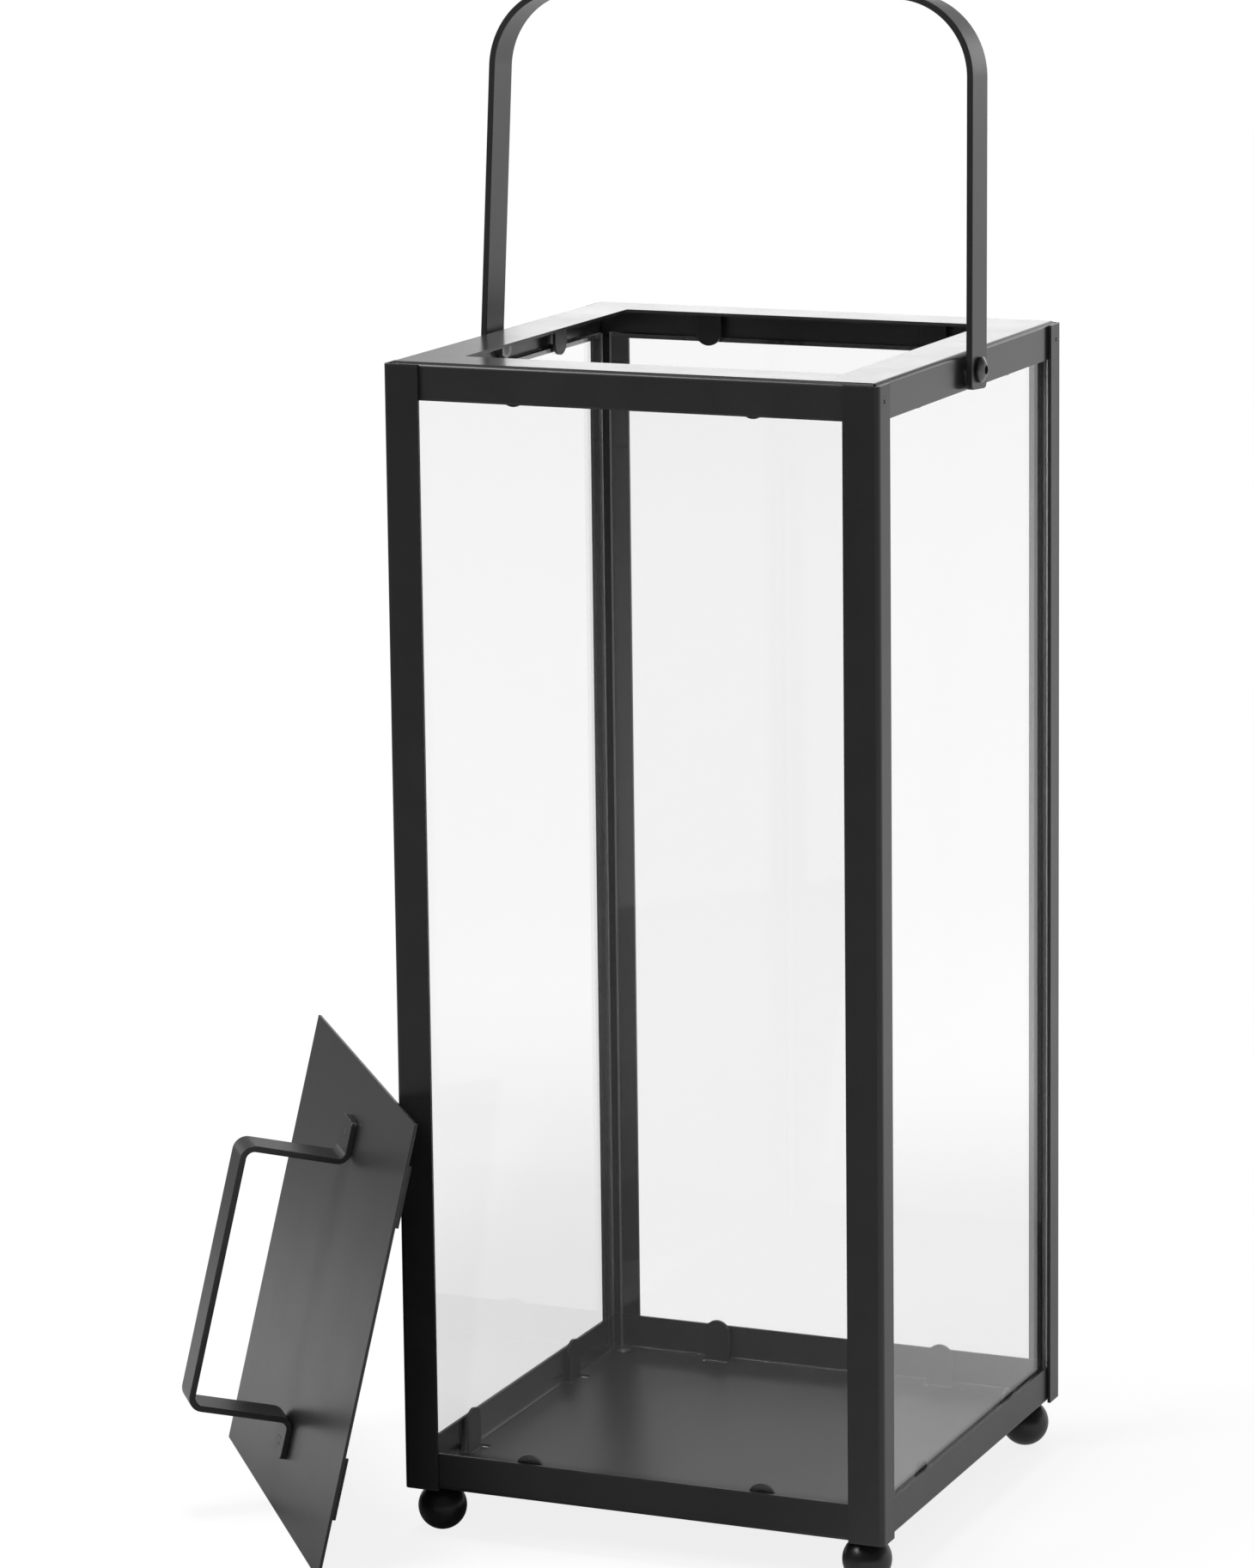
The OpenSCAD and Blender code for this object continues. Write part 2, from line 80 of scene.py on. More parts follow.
camera_data = bpy.data.cameras.new("studio_camera")
camera_data.sensor_width = 36.0
camera_data.lens = focal_px * camera_data.sensor_width / picture_h
camera_data.shift_x = -(centre_x_px - picture_w / 2) / picture_h
camera_data.shift_y = (centre_y_px - picture_h / 2) / picture_h
camera_data.clip_start, camera_data.clip_end = 0.05, 60.0
camera = bpy.data.objects.new("studio_camera", camera_data)
scene.collection.objects.link(camera)
turn = np.array([camera_right, [-v for v in camera_down], [-v for v in camera_ahead]]).T
placed = np.eye(4)
placed[:3, :3] = turn
placed[:3, 3] = camera_place
camera.matrix_world = Matrix(placed.tolist())
scene.camera = camera

# ---------------------------------------------------------------------------------------------
# Studio. A pale floor under a white background, a soft key lamp at the front left, a weak top lamp and
# a panel behind, which the top frame mirrors. Gloss sees white behind the lantern and a dim room in
# front of it, so faces turned to the camera stay dark.
# ---------------------------------------------------------------------------------------------

ground_z = cad_box[0].z


def studio_lamp(name, place, target, size, watts):
    """Rectangular area lamp whose -Z axis points from its place to the target."""
    data = bpy.data.lights.new(name, "AREA")
    data.shape = "RECTANGLE"
    data.size, data.size_y = size
    data.energy = watts
    lamp = bpy.data.objects.new(name, data)
    scene.collection.objects.link(lamp)
    ahead = np.array(target, float) - np.array(place, float)
    ahead /= np.linalg.norm(ahead)
    side = np.cross(ahead, (0.0, 0.0, 1.0))
    side /= np.linalg.norm(side)
    rows = np.eye(4)
    rows[:3, :3] = np.array([side, np.cross(side, ahead), -ahead]).T
    rows[:3, 3] = place
    lamp.matrix_world = Matrix(rows.tolist())


studio_lamp("key_lamp", place=(-1.5, -1.5, 2.3), target=(0, 0, 0.4), size=(1.2, 1.2), watts=34)
studio_lamp("top_lamp", place=(-0.2, -0.1, 2.6), target=(-0.1, 0, 0.3), size=(0.5, 0.5), watts=24)
studio_lamp("back_panel", place=(-0.05, 1.3, 0.8), target=(-0.05, 0.0, 0.8), size=(1.34, 0.38), watts=2.35)


def feed(tree, value, socket):
    """Sets a socket to a constant, or links it to the socket that the value comes from."""
    if isinstance(value, bpy.types.NodeSocket):
        tree.links.new(value, socket)
    else:
        socket.default_value = value


def maths(tree, operation, *values, clamp=False):
    """Math node in a tree; each value is a number or the socket that it comes from."""
    node = tree.nodes.new("ShaderNodeMath")
    node.operation = operation
    node.use_clamp = clamp
    for k, value in enumerate(values):
        feed(tree, value, node.inputs[k])
    return node.outputs["Value"]


def vector_maths(tree, operation, *values, result="Vector"):
    """Vector Math node in a tree; each value is a vector or the socket that it comes from."""
    node = tree.nodes.new("ShaderNodeVectorMath")
    node.operation = operation
    for k, value in enumerate(values):
        feed(tree, value, node.inputs[k])
    return node.outputs[result]


def split(tree, vector):
    """The X, Y and Z of a vector."""
    node = tree.nodes.new("ShaderNodeSeparateXYZ")
    tree.links.new(vector, node.inputs["Vector"])
    return node.outputs


def ramp(tree, value, low, high, start=0.0, end=1.0, kind="SMOOTHSTEP"):
    """Goes from start, where the value is low, to end, where it is high."""
    node = tree.nodes.new("ShaderNodeMapRange")
    node.interpolation_type = kind
    node.inputs["From Min"].default_value = low
    node.inputs["From Max"].default_value = high
    node.inputs["To Min"].default_value = start
    node.inputs["To Max"].default_value = end
    tree.links.new(value, node.inputs["Value"])
    return node.outputs["Result"]


def mixed(tree, factor, first, second, kind="RGBA", blend="MIX"):
    """Mix node from a first to a second colour or number; each is a constant or the socket it comes from."""
    node = tree.nodes.new("ShaderNodeMix")
    node.data_type = kind
    node.blend_type = blend
    feed(tree, factor, node.inputs["Factor"])
    feed(tree, first, node.inputs["A"])
    feed(tree, second, node.inputs["B"])
    return node.outputs["Result"]


def seen_directly(tree, ray):
    """1 for a camera ray, also after it went straight through glass, and 0 once it was mirrored."""
    unmirrored = maths(tree, "LESS_THAN", ray.outputs["Glossy Depth"], 0.5)
    passed = maths(tree, "MULTIPLY", ray.outputs["Is Transmission Ray"], unmirrored)
    return maths(tree, "MAXIMUM", ray.outputs["Is Camera Ray"], passed)


def was_mirrored(tree, ray):
    """1 for a ray that was mirrored at least once, else 0."""
    return maths(tree, "MINIMUM", ray.outputs["Glossy Depth"], 1.0)


room = bpy.data.worlds.new("studio_room")
scene.world = room
room.use_nodes = True
tree = room.node_tree
tree.nodes.clear()
ray = tree.nodes.new("ShaderNodeLightPath")
direction = split(tree, tree.nodes.new("ShaderNodeTexCoord").outputs["Generated"])
soft_light = ramp(tree, direction["Z"], -0.2, 0.9, 0.18, 0.42)
behind = ramp(tree, direction["Y"], -0.25, 0.45)
low_band = ramp(tree, direction["Z"], 0.05, 0.4, 1.0, 0.08)
bright_wall, dim_room = 0.86, 0.08
mirrored = maths(tree, "MULTIPLY_ADD", maths(tree, "MULTIPLY", behind, low_band), bright_wall, dim_room)
level = mixed(tree, was_mirrored(tree, ray), soft_light, mirrored, kind="FLOAT")
strength = maths(tree, "MAXIMUM", level, seen_directly(tree, ray))
white = tree.nodes.new("ShaderNodeBackground")
white.inputs["Color"].default_value = (1, 1, 1, 1)
tree.links.new(strength, white.inputs["Strength"])
sky = tree.nodes.new("ShaderNodeOutputWorld")
tree.links.new(white.outputs["Background"], sky.inputs["Surface"])

reach = 7.0
floor_mesh = bpy.data.meshes.new("studio_floor")
corners = [(-reach, -reach), (reach, -reach), (reach, reach), (-reach, reach)]
floor_mesh.from_pydata([(x, y, ground_z) for x, y in corners], [], [(0, 1, 2, 3)])
studio_floor = bpy.data.objects.new("studio_floor", floor_mesh)
scene.collection.objects.link(studio_floor)

# seen directly, the floor is lifted towards white; to mirrored rays it glows with painted light at the
# right, behind and in a pool by the lid
pale = bpy.data.materials.new("pale_floor")
pale.use_nodes = True
tree = pale.node_tree
tree.nodes.clear()
ray = tree.nodes.new("ShaderNodeLightPath")
where = tree.nodes.new("ShaderNodeTexCoord").outputs["Object"]
axes = split(tree, where)
white_lift = ramp(tree, vector_maths(tree, "LENGTH", where, result="Value"), 0.4, 3.0, 0.845, 0.93)
at_right = ramp(tree, axes["X"], 0.02, 0.16, 0.0, 0.5)
at_back = ramp(tree, maths(tree, "MULTIPLY_ADD", axes["X"], 0.6, axes["Y"]), 0.2, 1.1, 0.0, 0.85)
# middle of a painted pool of light on the floor, which is seen only in reflections
painted_pool_middle = (-0.5, 0.18, ground_z)
from_painted_pool = vector_maths(tree, "DISTANCE", where, painted_pool_middle, result="Value")
painted_pool_by_lid = ramp(tree, from_painted_pool, 0.1, 0.55, 0.5, 0.0)
# painted glow: for mirrored rays the floor shines in these places, though no lamp is there
painted_glow_for_mirrors = maths(tree, "MAXIMUM", maths(tree, "MAXIMUM", at_right, at_back), painted_pool_by_lid)
direct = seen_directly(tree, ray)
glossy = maths(tree, "MULTIPLY", maths(tree, "SUBTRACT", 1.0, direct), was_mirrored(tree, ray))
direct_part = maths(tree, "MULTIPLY", direct, white_lift)
mirror_part = maths(tree, "MULTIPLY", glossy, painted_glow_for_mirrors)
lift = tree.nodes.new("ShaderNodeEmission")
lift.inputs["Color"].default_value = (1, 1, 1, 1)
tree.links.new(maths(tree, "ADD", direct_part, mirror_part), lift.inputs["Strength"])
matt = tree.nodes.new("ShaderNodeBsdfDiffuse")
tree.links.new(mixed(tree, direct, (0.42, 0.42, 0.42, 1), (0.18, 0.18, 0.18, 1)), matt.inputs["Color"])
both = tree.nodes.new("ShaderNodeAddShader")
tree.links.new(matt.outputs["BSDF"], both.inputs[0])
tree.links.new(lift.outputs["Emission"], both.inputs[1])
out = tree.nodes.new("ShaderNodeOutputMaterial")
tree.links.new(both.outputs["Shader"], out.inputs["Surface"])
floor_mesh.materials.append(pale)

# ---------------------------------------------------------------------------------------------
# Tray. One sheet of steel with four upturned skirts and eight short slots, powder coated in satin
# black. The coat has a fine orange peel, a cloudy gloss and faint smears. It is worn along the tray's
# edges, lighter round the slots with wear and a painted highlight, and dented a little over the floor
# clips' spot welds.
# ---------------------------------------------------------------------------------------------

FLOAT, COLOUR, VECTOR = "NodeSocketFloat", "NodeSocketColor", "NodeSocketVector"


def new_group(name, inputs, outputs):
    """Shader node group; inputs are given as (name, type, default) and outputs as (name, type)."""
    group = bpy.data.node_groups.new(name, "ShaderNodeTree")
    for label, kind, value in inputs:
        socket = group.interface.new_socket(label, in_out="INPUT", socket_type=kind)
        socket.default_value = value
    for label, kind in outputs:
        group.interface.new_socket(label, in_out="OUTPUT", socket_type=kind)
    start = group.nodes.new("NodeGroupInput")
    end = group.nodes.new("NodeGroupOutput")
    return group, start.outputs, end.inputs


def use_group(tree, group, **values):
    """Places a group in a tree; each value is a constant or the socket that it comes from."""
    node = tree.nodes.new("ShaderNodeGroup")
    node.node_tree = group
    for label, value in values.items():
        feed(tree, value, node.inputs[label])
    return node.outputs


def noise_at(tree, vector, scale, detail=3.0, rough=0.55):
    """Noise texture on the given coordinates; its grain is about one part in scale of a metre."""
    node = tree.nodes.new("ShaderNodeTexNoise")
    node.inputs["Scale"].default_value = scale
    node.inputs["Detail"].default_value = detail
    node.inputs["Roughness"].default_value = rough
    tree.links.new(vector, node.inputs["Vector"])
    return node.outputs["Fac"]


# powder_coat: roughness = base + clouds of 30 mm + smears of 4 mm - a little where worn; height = orange
# peel of 0.6 mm grain - marks; colour = the coat's, mottled, and the worn colour where worn, which round
# the tray's slots is also a painted highlight
cloud_depth, smear_depth = 0.06, 0.03
powder_coat, given, result = new_group(
    "powder_coat",
    [
        ("Place", VECTOR, (0, 0, 0)),
        ("Colour", COLOUR, (0.02, 0.02, 0.02, 1)),
        ("Worn", COLOUR, (0.1, 0.1, 0.1, 1)),
        ("Wear", FLOAT, 0.0),
        ("Mark", FLOAT, 0.0),
        ("Rough", FLOAT, 0.38),
        ("Peel", FLOAT, 0.25),
    ],
    [("Colour", COLOUR), ("Roughness", FLOAT), ("Height", FLOAT)],
)
clouds = noise_at(powder_coat, given["Place"], 34.0, 2.0)
smears = noise_at(powder_coat, given["Place"], 240.0, 4.0)
peel = noise_at(powder_coat, given["Place"], 1700.0, 2.0, 0.4)
specks = noise_at(powder_coat, given["Place"], 900.0, 1.0)
rough = maths(powder_coat, "MULTIPLY_ADD", clouds, cloud_depth, given["Rough"])
rough = maths(powder_coat, "MULTIPLY_ADD", smears, smear_depth, rough)
rough = maths(powder_coat, "ADD", rough, -(cloud_depth + smear_depth) / 2)
rubbed = maths(powder_coat, "MULTIPLY", given["Wear"], -0.08)
feed(powder_coat, maths(powder_coat, "ADD", rough, rubbed, clamp=True), result["Roughness"])
dented = maths(powder_coat, "MULTIPLY", given["Mark"], -1.0)
feed(powder_coat, maths(powder_coat, "MULTIPLY_ADD", peel, given["Peel"], dented), result["Height"])
mottle = maths(powder_coat, "MULTIPLY_ADD", specks, 0.35, maths(powder_coat, "MULTIPLY", clouds, 0.65))
tone = ramp(powder_coat, mottle, 0.3, 0.7, 0.86, 1.14, kind="LINEAR")
mottled = mixed(powder_coat, 1.0, given["Colour"], tone, blend="MULTIPLY")
feed(powder_coat, mixed(powder_coat, given["Wear"], mottled, given["Worn"]), result["Colour"])

# edge_wear: rises to 1 where two faces of a block meet, is 0 a width away from either, broken up by noise
edge_wear, given, result = new_group(
    "edge_wear",
    [
        ("Place", VECTOR, (0, 0, 0)),
        ("Half", VECTOR, (0.1, 0.1, 0.1)),
        ("Width", FLOAT, 0.0012),
        ("Amount", FLOAT, 0.5),
    ],
    [("Wear", FLOAT)],
)
from_middle = vector_maths(edge_wear, "ABSOLUTE", given["Place"])
inside = split(edge_wear, vector_maths(edge_wear, "SUBTRACT", given["Half"], from_middle))
near = []
for axis in "XYZ":
    share = maths(edge_wear, "DIVIDE", inside[axis], given["Width"])
    near.append(maths(edge_wear, "SUBTRACT", 1.0, maths(edge_wear, "ABSOLUTE", share), clamp=True))
pairs = [maths(edge_wear, "MULTIPLY", near[a], near[b]) for a, b in ((0, 1), (1, 2), (0, 2))]
edge = maths(edge_wear, "MAXIMUM", maths(edge_wear, "MAXIMUM", pairs[0], pairs[1]), pairs[2])
patches = noise_at(edge_wear, given["Place"], 130.0, 5.0, 0.65)
patches = maths(edge_wear, "MULTIPLY_ADD", patches, 3.0, -1.0, clamp=True)
edge = maths(edge_wear, "MULTIPLY", edge, patches)
feed(edge_wear, maths(edge_wear, "MULTIPLY", edge, given["Amount"], clamp=True), result["Wear"])

# side_places: folds a square part's four sides into one; out is the larger of |x| and |y|, along the smaller
side_places, given, result = new_group(
    "side_places", [("Place", VECTOR, (0, 0, 0))], [("Out", FLOAT), ("Along", FLOAT)]
)
axes = split(side_places, vector_maths(side_places, "ABSOLUTE", given["Place"]))
feed(side_places, maths(side_places, "MAXIMUM", axes["X"], axes["Y"]), result["Out"])
feed(side_places, maths(side_places, "MINIMUM", axes["X"], axes["Y"]), result["Along"])

# weld_marks: 1 at the middle of a spot weld, falling to 0 at its radius; out and along are measured from it
weld_marks, given, result = new_group(
    "weld_marks",
    [("Out", FLOAT, 0.0), ("Along", FLOAT, 0.0), ("Radius", FLOAT, 0.0022)],
    [("Mark", FLOAT)],
)
squares = [maths(weld_marks, "POWER", given[label], 2.0) for label in ("Out", "Along")]
far = maths(weld_marks, "SQRT", maths(weld_marks, "ADD", *squares))
share = maths(weld_marks, "DIVIDE", far, given["Radius"])
fading = maths(weld_marks, "SUBTRACT", 1.0, maths(weld_marks, "POWER", share, 2.0), clamp=True)
feed(weld_marks, fading, result["Mark"])


def rim_wear_and_highlight(tree, sides, out, along, half_out, half_along):
    """Band along the rim of a slot with a given middle and half sizes, worn and also a painted highlight:
    0.9 on it, 0 beyond 0.64 mm.
    """
    past = []
    for place, middle, half in ((sides["Out"], out, half_out), (sides["Along"], along, half_along)):
        from_middle = maths(tree, "ABSOLUTE", maths(tree, "SUBTRACT", place, middle))
        past.append(maths(tree, "SUBTRACT", from_middle, half))
    rim = maths(tree, "ABSOLUTE", maths(tree, "MAXIMUM", *past))
    return maths(tree, "MULTIPLY_ADD", rim, -1400.0, 0.9, clamp=True)


def coated(name, colour, rough, peel=0.22, block=None, turn=(0, 0, 0), amount=0.45, welds=None, slots=None):
    """Powder-coated steel. Block is the middle and half size of a turned block whose edges are worn. With
    a block, welds and slots place one spot weld and one slot on each half side, out and along from its
    middle; slots give the slot's half sizes out and along as well."""
    made = bpy.data.materials.new(name)
    made.use_nodes = True
    tree = made.node_tree
    where = tree.nodes.new("ShaderNodeTexCoord").outputs["Object"]
    wear = mark = 0.0
    if block:
        middle, half = block
        centred = tree.nodes.new("ShaderNodeMapping")
        centred.vector_type = "TEXTURE"
        centred.inputs["Location"].default_value = middle
        centred.inputs["Rotation"].default_value = turn
        tree.links.new(where, centred.inputs["Vector"])
        place = centred.outputs["Vector"]
        wear = use_group(tree, edge_wear, Place=place, Half=half, Amount=amount)["Wear"]
        if welds or slots:
            sides = use_group(tree, side_places, Place=place)
        if welds:
            out = maths(tree, "SUBTRACT", sides["Out"], welds[0])
            along = maths(tree, "SUBTRACT", sides["Along"], welds[1])
            mark = use_group(tree, weld_marks, Out=out, Along=along)["Mark"]
        if slots:
            # the lighter band round each slot is partly wear and partly a painted highlight
            wear = maths(tree, "MAXIMUM", wear, rim_wear_and_highlight(tree, sides, *slots))
    worn = [min(1.0, c * 3.2 + 0.02) for c in colour]
    coat = use_group(tree, powder_coat, Place=where, Colour=(*colour, 1), Worn=(*worn, 1), Wear=wear,
                     Mark=mark, Rough=rough, Peel=peel)
    bump = tree.nodes.new("ShaderNodeBump")
    bump.inputs["Strength"].default_value = 0.25
    bump.inputs["Distance"].default_value = 0.00004
    tree.links.new(coat["Height"], bump.inputs["Height"])
    steel = tree.nodes["Principled BSDF"]
    steel.inputs["Metallic"].default_value = 0.0
    steel.inputs["IOR"].default_value = 1.52
    tree.links.new(coat["Colour"], steel.inputs["Base Color"])
    tree.links.new(coat["Roughness"], steel.inputs["Roughness"])
    tree.links.new(bump.outputs["Normal"], steel.inputs["Normal"])
    return made


def dress(node, material):
    """Gives a CAD node its material."""
    part = node_of[node]
    part.data.materials.clear()
    part.data.materials.append(material)


def block_round(*nodes):
    """Middle and half size of the block that holds some CAD nodes."""
    boxes = np.array([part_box(node) for node in nodes])
    low, high = boxes[:, 0].min(axis=0), boxes[:, 1].max(axis=0)
    return tuple((low + high) / 2), tuple((high - low) / 2)


sheet = 0.0015
clip_along = 0.059  # from the middle of a side to each of its two clips
floor_weld_out = 0.1045
tongue_w, slot_play, slot_open = 0.0135, 0.0004, 0.0055
tongue_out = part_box("floor_clips")[1].x
slot_outer, slot_inner = tongue_out + slot_play, tongue_out - sheet - slot_open
slot_middle, slot_half = (slot_outer + slot_inner) / 2, (slot_outer - slot_inner) / 2
tray_coat = coated(
    "tray_coat",
    colour=(0.017, 0.017, 0.018),
    rough=0.36,
    block=block_round("base_tray"),
    welds=(floor_weld_out, clip_along),
    slots=(slot_middle, clip_along, slot_half, tongue_w / 2 + slot_play),
)
dress("base_tray", tray_coat)

# ---------------------------------------------------------------------------------------------
# Top frame. A second folded pan turned over, with a square opening cut in its flange. Its coat is
# smoother than the tray's, worn along the edges, and dented a little over the glass clips' spot welds.
# ---------------------------------------------------------------------------------------------

flange_weld_out = 0.107
frame_coat = coated(
    "frame_coat",
    colour=(0.034, 0.034, 0.035),
    rough=0.22,
    peel=0.06,
    block=block_round("top_frame"),
    welds=(flange_weld_out, clip_along),
)
dress("top_frame", frame_coat)

# ---------------------------------------------------------------------------------------------
# Clips. Sixteen half-round steel clips hold the panes. Eight stand up through the tray's slots and are
# welded under its floor, and eight hang from under the flange. Their coat has no worn edges.
# ---------------------------------------------------------------------------------------------

clip_coat = coated("clip_coat", colour=(0.02, 0.02, 0.021), rough=0.36)
dress("floor_clips", clip_coat)
dress("glass_clips", clip_coat)

# ---------------------------------------------------------------------------------------------
# Posts. Four folded steel angles that lap the skirts of tray and frame outside, worn along their
# outer corner and at their ends. One small screw holds each, high on its side leg.
# ---------------------------------------------------------------------------------------------

corner_names = ("front_left", "front_right", "back_left", "back_right")
posts = ["post_" + corner for corner in corner_names]
post_coat = coated("post_coat", colour=(0.021, 0.021, 0.022), rough=0.36, block=block_round(*posts))
for post in posts:
    dress(post, post_coat)
dress("post_screws", coated("screw_black", colour=(0.03, 0.03, 0.031), rough=0.32))

# ---------------------------------------------------------------------------------------------
# Panes. Four sheets of clear 3 mm float glass with ground upright edges and a breath of dust and
# wiping marks. Shadow rays and diffuse rays go straight through them, so that light reaches the tray.
# ---------------------------------------------------------------------------------------------

pane_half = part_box("glass_front")[1].x
ground_from = pane_half - 0.0007
ground_over = 0.0004  # the width over which clear glass turns to ground edge

pane_glass = bpy.data.materials.new("pane_glass")
pane_glass.use_nodes = True
tree = pane_glass.node_tree
glass = tree.nodes["Principled BSDF"]
glass.inputs["Metallic"].default_value = 0.0
glass.inputs["IOR"].default_value = 1.5
glass.inputs["Transmission Weight"].default_value = 1.0
where = tree.nodes.new("ShaderNodeTexCoord").outputs["Object"]
axes = split(tree, vector_maths(tree, "ABSOLUTE", where))
across = maths(tree, "MINIMUM", axes["X"], axes["Y"])
ground_edge = maths(tree, "MULTIPLY_ADD", across, 1 / ground_over, -ground_from / ground_over, clamp=True)
wiped = noise_at(tree, where, 16.0, 4.0, 0.6)
smudge = maths(tree, "MULTIPLY_ADD", wiped, 0.06, -0.03, clamp=True)
rough = maths(tree, "MAXIMUM", smudge, maths(tree, "MULTIPLY", ground_edge, 0.55))
tree.links.new(rough, glass.inputs["Roughness"])
tint = mixed(tree, ground_edge, (0.985, 0.985, 0.985, 1), (0.8, 0.8, 0.8, 1))
tree.links.new(tint, glass.inputs["Base Color"])
ray = tree.nodes.new("ShaderNodeLightPath")
through = tree.nodes.new("ShaderNodeBsdfTransparent")
through.inputs["Color"].default_value = (0.93, 0.93, 0.93, 1)
lit = tree.nodes.new("ShaderNodeMixShader")
soft_ray = maths(tree, "MAXIMUM", ray.outputs["Is Shadow Ray"], ray.outputs["Is Diffuse Ray"])
tree.links.new(soft_ray, lit.inputs["Fac"])
tree.links.new(glass.outputs["BSDF"], lit.inputs[1])
tree.links.new(through.outputs["BSDF"], lit.inputs[2])
tree.links.new(lit.outputs["Shader"], tree.nodes["Material Output"].inputs["Surface"])
for side in ("front", "back", "left", "right"):
    dress("glass_" + side, pane_glass)

# ---------------------------------------------------------------------------------------------
# Feet. Four turned balls in a slightly shinier black than the tray's. A dark grey screw holds each
# one from inside, through the tray floor.
# ---------------------------------------------------------------------------------------------

foot_coat = coated("foot_coat", colour=(0.012, 0.012, 0.013), rough=0.30, peel=0.12)
for corner in corner_names:
    dress("foot_" + corner, foot_coat)
dark_screw = coated("dark_screw", colour=(0.05, 0.05, 0.05), rough=0.34)
dress("foot_screws", dark_screw)

# ---------------------------------------------------------------------------------------------
# Bail. One 20 by 3 mm flat steel bar bent over two round shoulders, powder coated. It hangs on the
# two pivot screws. The bar's edges are slightly rounded and aren't worn.
# ---------------------------------------------------------------------------------------------

bar_rounding = 0.00045


def eased_edges(node, material, body, width):
    """Stands a copy of a CAD node in its place, with its doubles merged, its flat faces joined and its
    sharp edges rounded by width."""
    mesh = node_of[node].data.copy()
    mesh.name = node + "_eased"
    shape = bmesh.new()
    shape.from_mesh(mesh)
    bmesh.ops.remove_doubles(shape, verts=shape.verts[:], dist=2e-6)
    bmesh.ops.dissolve_limit(shape, angle_limit=0.004, verts=shape.verts[:], edges=shape.edges[:])
    shape.to_mesh(mesh)
    shape.free()
    mesh.materials.clear()
    mesh.materials.append(material)
    mesh.polygons.foreach_set("use_smooth", np.ones(len(mesh.polygons), bool))
    mesh.set_sharp_from_angle(angle=np.radians(30.0))
    piece = bpy.data.objects.new(node + "_eased", mesh)
    scene.collection.objects.link(piece)
    rounding = piece.modifiers.new("rounded edges", "BEVEL")
    rounding.width = width
    rounding.segments = 3
    rounding.limit_method = "ANGLE"
    rounding.angle_limit = np.radians(40.0)
    rounding.use_clamp_overlap = False
    rounding.harden_normals = True
    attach(piece, body)
    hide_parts(node)


bail_coat = coated("bail_coat", colour=(0.024, 0.024, 0.025), rough=0.36)
eased_edges("bail_handle", bail_coat, "bail", bar_rounding)

# ---------------------------------------------------------------------------------------------
# Pivots. On each side a turned screw of oil-blackened steel, a zinc-plated spacer between bar and
# skirt, and a thin zinc-plated nut inside the skirt.
# ---------------------------------------------------------------------------------------------

pivot_at = next(joint["pos_m"] for joint in frame["joints"] if joint["name"] == "bail_swing")


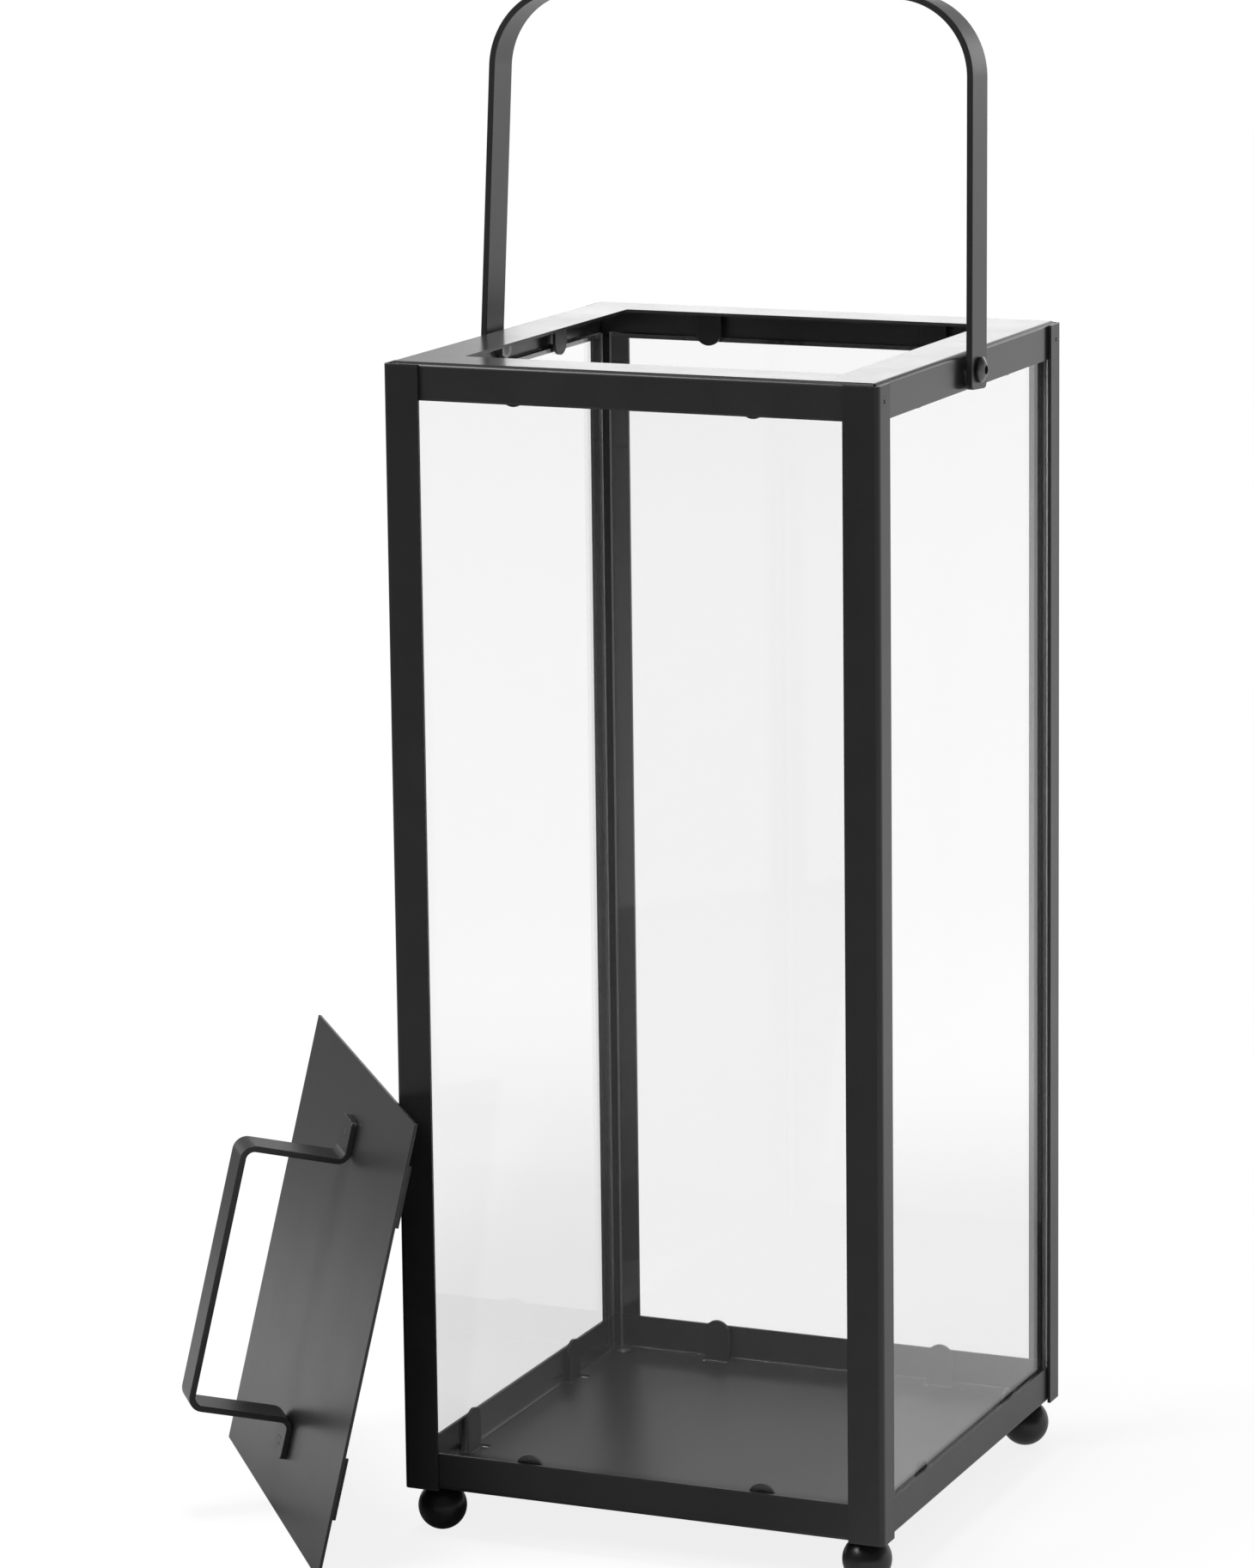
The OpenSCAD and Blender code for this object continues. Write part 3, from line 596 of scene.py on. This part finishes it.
def turned_steel(name, colour):
    """Turned steel: rings of 0.4 mm pitch about the pivots' X axis, and blotches in its tone and gloss."""
    made = bpy.data.materials.new(name)
    made.use_nodes = True
    tree = made.node_tree
    steel = tree.nodes["Principled BSDF"]
    steel.inputs["Metallic"].default_value = 0.85
    where = tree.nodes.new("ShaderNodeTexCoord").outputs["Object"]
    centred = tree.nodes.new("ShaderNodeMapping")
    centred.vector_type = "TEXTURE"
    centred.inputs["Location"].default_value = pivot_at
    tree.links.new(where, centred.inputs["Vector"])
    axes = split(tree, centred.outputs["Vector"])
    squares = [maths(tree, "POWER", axes[axis], 2.0) for axis in "YZ"]
    radius = maths(tree, "SQRT", maths(tree, "ADD", *squares))
    rings = maths(tree, "SINE", maths(tree, "MULTIPLY", radius, 16000.0))
    blotch = noise_at(tree, where, 420.0, 3.0)
    rough = maths(tree, "MULTIPLY_ADD", rings, 0.02, maths(tree, "MULTIPLY_ADD", blotch, 0.18, 0.18))
    tree.links.new(rough, steel.inputs["Roughness"])
    darker, lighter = [(*[c * share for c in colour], 1) for share in (0.7, 1.5)]
    tree.links.new(mixed(tree, blotch, darker, lighter), steel.inputs["Base Color"])
    bump = tree.nodes.new("ShaderNodeBump")
    bump.inputs["Strength"].default_value = 0.3
    bump.inputs["Distance"].default_value = 0.00002
    tree.links.new(rings, bump.inputs["Height"])
    tree.links.new(bump.outputs["Normal"], steel.inputs["Normal"])
    return made


pivot_black = turned_steel("pivot_black", colour=(0.09, 0.09, 0.092))
pivot_zinc = turned_steel("pivot_zinc", colour=(0.2, 0.2, 0.205))
for side in ("left", "right"):
    dress("pivot_screw_" + side, pivot_black)
    dress("pivot_spacer_" + side, pivot_zinc)
    dress("pivot_nut_" + side, pivot_zinc)

# ---------------------------------------------------------------------------------------------
# Lid. A plain square steel plate, leaned against the front left post, with short folded lugs
# spot-welded under it. The edges of its underside are worn, and it is dented a little over the welds.
# ---------------------------------------------------------------------------------------------

plate_half = 0.1095
lid_slope, lid_heading = 76.676, 38.2  # degrees
lid_corner = Vector((-0.1322, -0.1944, -0.02395))
lug_weld_out, lug_weld_along = 0.0885, 0.0355
lid_turn = np.radians((0.0, -lid_slope, lid_heading))
lid_middle = Euler(lid_turn, "XYZ").to_matrix() @ Vector((plate_half, plate_half, 0.0)) + lid_corner
lid_coat = coated(
    "lid_coat",
    colour=(0.022, 0.022, 0.023),
    rough=0.34,
    block=(lid_middle, (plate_half, plate_half, sheet)),
    turn=lid_turn,
    welds=(lug_weld_out, lug_weld_along),
)
eased_edges("lid_plate", lid_coat, "lid", 0.00025)
dress("lid_lugs", coated("lug_coat", colour=(0.022, 0.022, 0.023), rough=0.36))

# ---------------------------------------------------------------------------------------------
# Lid handle. A flat bar as wide and thick as the bail's, bent to a hat shape with its feet turned
# outwards. It is worn along the edges of its top and legs, and held by a screw through each foot.
# ---------------------------------------------------------------------------------------------

grip_half_span, bar_half, grip_height = 0.066, 0.0099, 0.0529
grip_coat = coated(
    "lid_handle_coat",
    colour=(0.021, 0.021, 0.022),
    rough=0.36,
    block=(lid_middle, (grip_half_span, bar_half, grip_height)),
    turn=lid_turn,
    amount=0.35,
)
eased_edges("lid_handle", grip_coat, "lid", bar_rounding)
dress("lid_screws", dark_screw)
